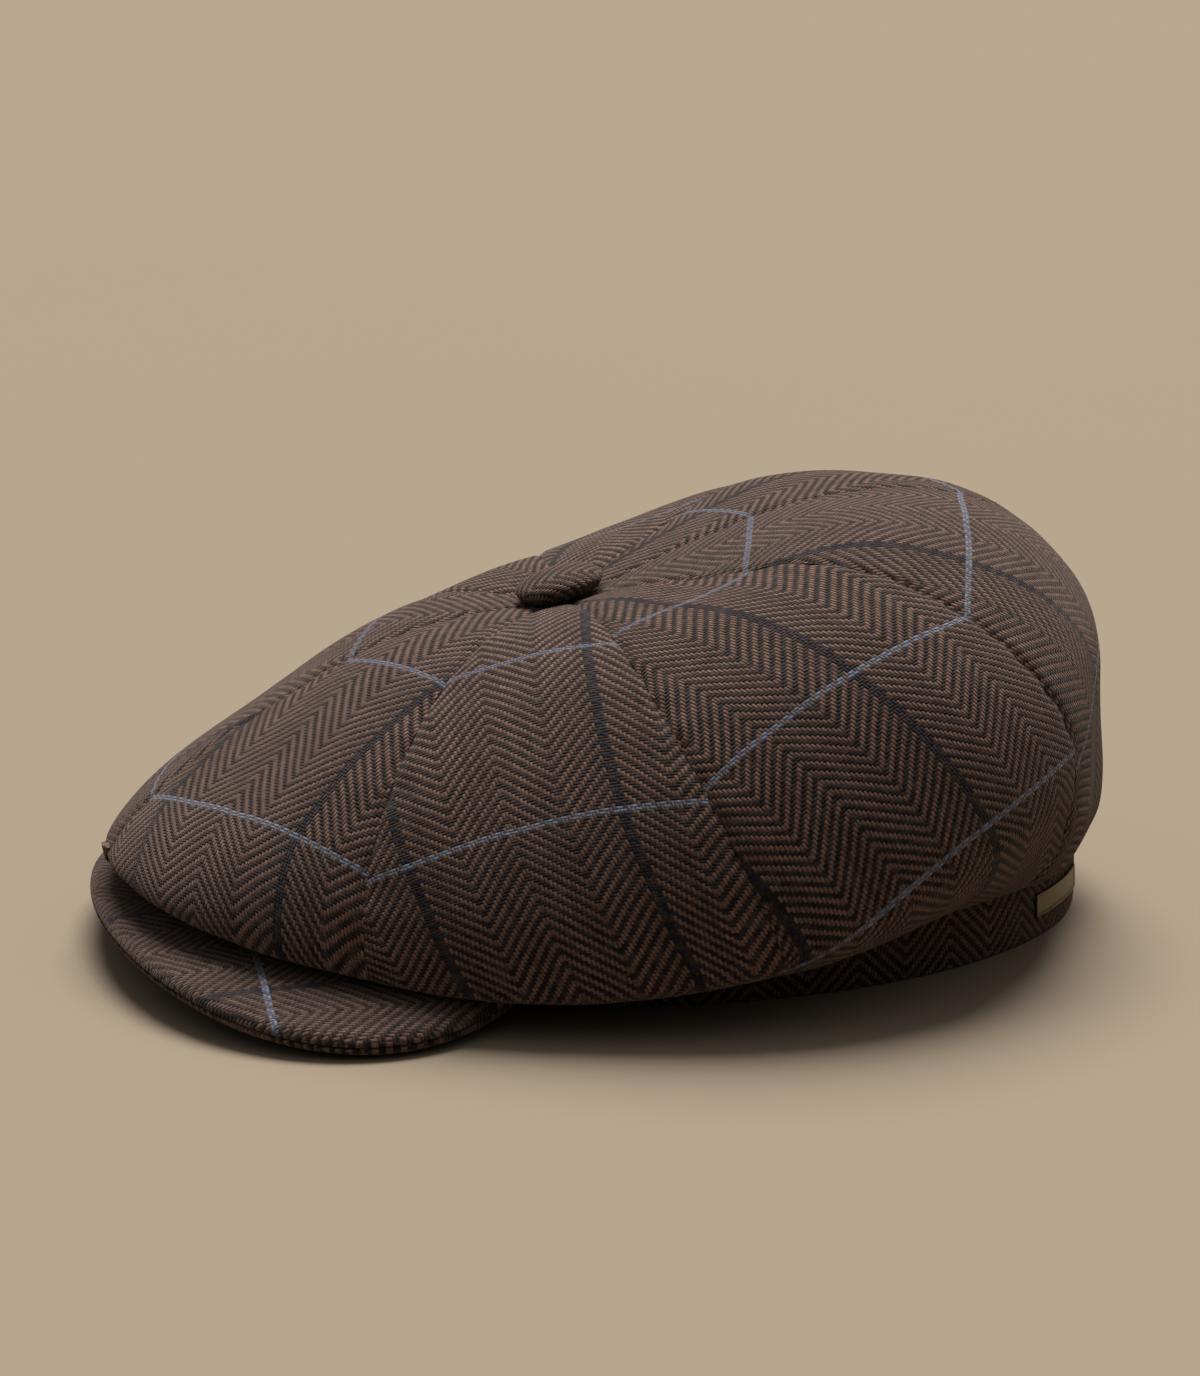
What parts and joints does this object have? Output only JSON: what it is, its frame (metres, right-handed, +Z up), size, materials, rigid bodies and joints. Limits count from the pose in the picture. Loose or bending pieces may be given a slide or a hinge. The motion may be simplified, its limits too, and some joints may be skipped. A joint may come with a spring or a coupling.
{
  "type": "newsboy cap",
  "caption": "Soft cap with a full panelled crown that overhangs a short stiffened peak, a covered button on top, an outer band, a sweatband and a lining.",
  "frame": {"origin": "middle of the head opening, in the plane of the rim", "axes": "+Z up through the crown, -Y towards the peak at the wearer's front, +X towards the wearer's left"},
  "size_m": [0.2334, 0.2615, 0.1067],
  "materials": {
    "tweed": "brown herringbone wool with a blue windowpane",
    "under_cloth": "brown herringbone wool",
    "lining_cloth": "smooth dark brown satin",
    "sweatband_cloth": "dark brown cotton twill",
    "interlining": "stiff plain weave",
    "board": "matt",
    "button_metal": "plain stamped",
    "badge_metal": "antique, rubbed at the edges",
    "label_cloth": "woven satin tape"
  },
  "bodies": {
    "root": {"crown_front_left": "tweed", "crown_side_front_left": "tweed", "crown_side_back_left": "tweed", "crown_back_left": "tweed", "crown_front_right": "tweed", "crown_side_front_right": "tweed", "crown_side_back_right": "tweed", "crown_back_right": "tweed", "button_cover": "tweed", "button_shell": "button_metal", "button_back": "button_metal", "peak_top_cover": "tweed", "peak_board": "board", "peak_under_cover": "under_cloth", "band_left": "tweed", "band_right": "tweed", "band_interlining": "interlining", "sweatband": "sweatband_cloth", "lining_tip": "lining_cloth", "lining_side_left": "lining_cloth", "lining_side_right": "lining_cloth", "side_badge": "badge_metal", "care_label": "label_cloth", "size_tab": "label_cloth"}
  },
  "joints": []
}
